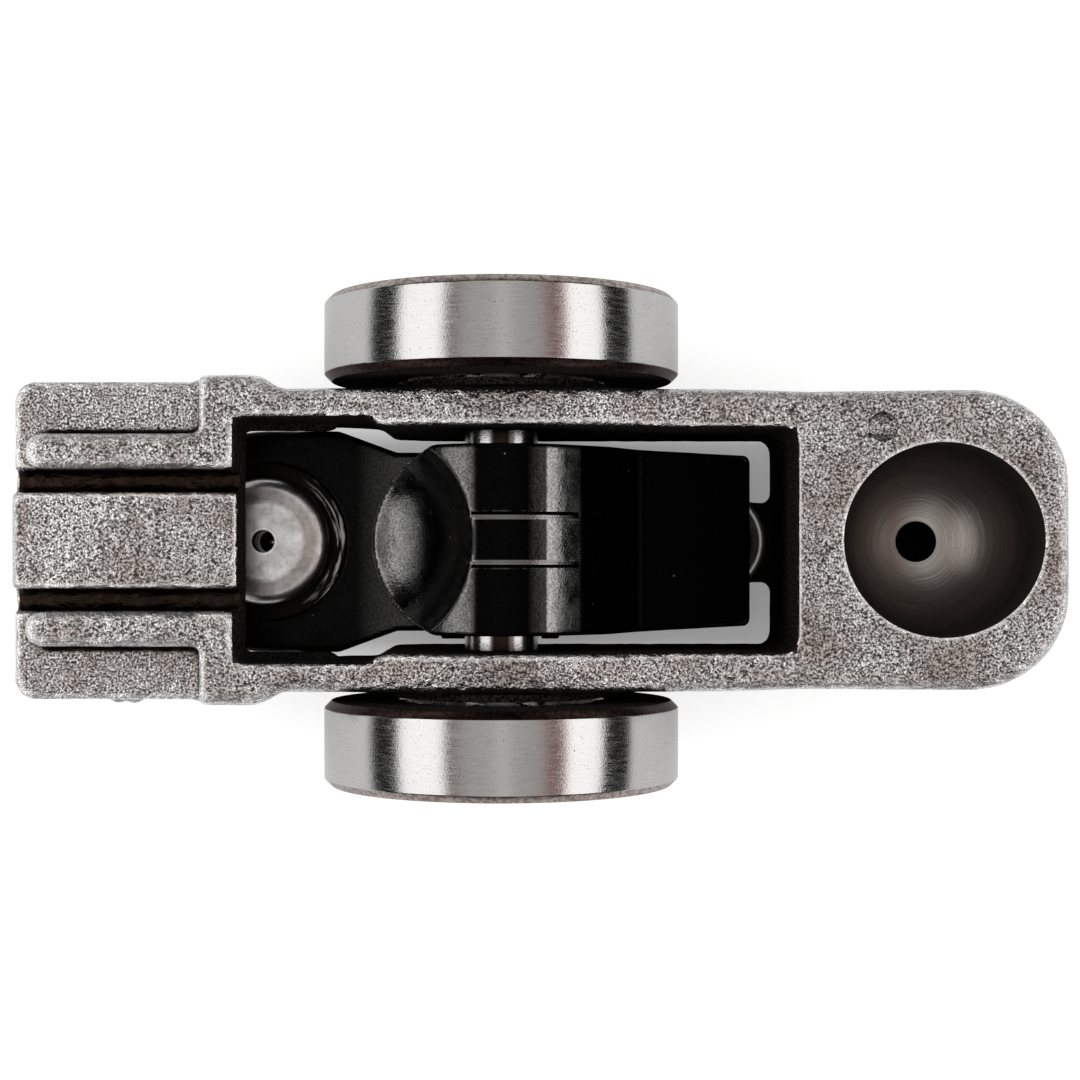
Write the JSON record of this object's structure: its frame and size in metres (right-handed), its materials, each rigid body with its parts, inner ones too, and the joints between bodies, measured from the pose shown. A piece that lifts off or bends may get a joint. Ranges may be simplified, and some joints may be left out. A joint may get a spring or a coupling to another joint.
{
  "type": "rocker arm",
  "caption": "Switching roller rocker arm: cast frame with outboard cam rollers, a centre lever with a hydraulic plunger, a valve pad and a pivot pocket.",
  "frame": {"origin": "centre of the roller axle, midway between the rollers", "axes": "+X along the arm to the pivot pocket, +Y along the roller axle, +Z out of the pivot pocket's mouth"},
  "size_m": [0.0585, 0.0278, 0.0202],
  "materials": {
    "cast_steel": "shot-blasted investment casting",
    "ground_steel": "ground",
    "black_oxide": "glossy black oxide",
    "satin_steel": "satin",
    "bronze": "turned",
    "spring_steel": "drawn wire"
  },
  "bodies": {
    "arm": {"arm_body": "cast_steel", "gallery_plug": "satin_steel", "roller_axle": "ground_steel", "return_spring": "spring_steel", "left_inner_race": "ground_steel", "left_inner_washer": "satin_steel", "left_outer_washer": "satin_steel", "left_retaining_ring": "spring_steel", "right_inner_race": "ground_steel", "right_inner_washer": "satin_steel", "right_outer_washer": "satin_steel", "right_retaining_ring": "spring_steel"},
    "lever": {"center_lever": "black_oxide", "lever_bush": "bronze", "capsule_sleeve": "satin_steel", "snap_ring": "spring_steel", "plunger_spring": "spring_steel"},
    "capsule": {"plunger": "satin_steel", "check_ball": "ground_steel", "check_cage": "satin_steel", "check_spring": "spring_steel"},
    "left_roller_set": {"left_roller": "ground_steel", "left_needle_01": "ground_steel", "left_needle_02": "ground_steel", "left_needle_03": "ground_steel", "left_needle_04": "ground_steel", "left_needle_05": "ground_steel", "left_needle_06": "ground_steel", "left_needle_07": "ground_steel", "left_needle_08": "ground_steel", "left_needle_09": "ground_steel", "left_needle_10": "ground_steel", "left_needle_11": "ground_steel", "left_needle_12": "ground_steel"},
    "right_roller_set": {"right_roller": "ground_steel", "right_needle_01": "ground_steel", "right_needle_02": "ground_steel", "right_needle_03": "ground_steel", "right_needle_04": "ground_steel", "right_needle_05": "ground_steel", "right_needle_06": "ground_steel", "right_needle_07": "ground_steel", "right_needle_08": "ground_steel", "right_needle_09": "ground_steel", "right_needle_10": "ground_steel", "right_needle_11": "ground_steel", "right_needle_12": "ground_steel"}
  },
  "joints": [
    {"name": "left_roller_spin", "type": "hinge", "parent": "arm", "child": "left_roller_set", "pos_m": [0, 0.0114, 0], "axis": [0, 1, 0], "continuous": true},
    {"name": "right_roller_spin", "type": "hinge", "parent": "arm", "child": "right_roller_set", "pos_m": [0, -0.0114, 0], "axis": [0, 1, 0], "continuous": true},
    {"name": "lever_pivot", "type": "hinge", "parent": "arm", "child": "lever", "pos_m": [0, 0, 0], "axis": [0, 1, 0], "range_deg": [0, 5], "stiffness_Nm_per_rad": 0.05, "springref_deg": -20.05, "deforming": ["return_spring"]},
    {"name": "plunger_slide", "type": "slide", "parent": "lever", "child": "capsule", "axis": [0, 0, 1], "range_m": [-0.0014, 0], "deforming": ["plunger_spring"]}
  ],
  "couplings": [
    {"joint": "plunger_slide", "follows": "lever_pivot", "m_per_rad": -0.0138}
  ]
}
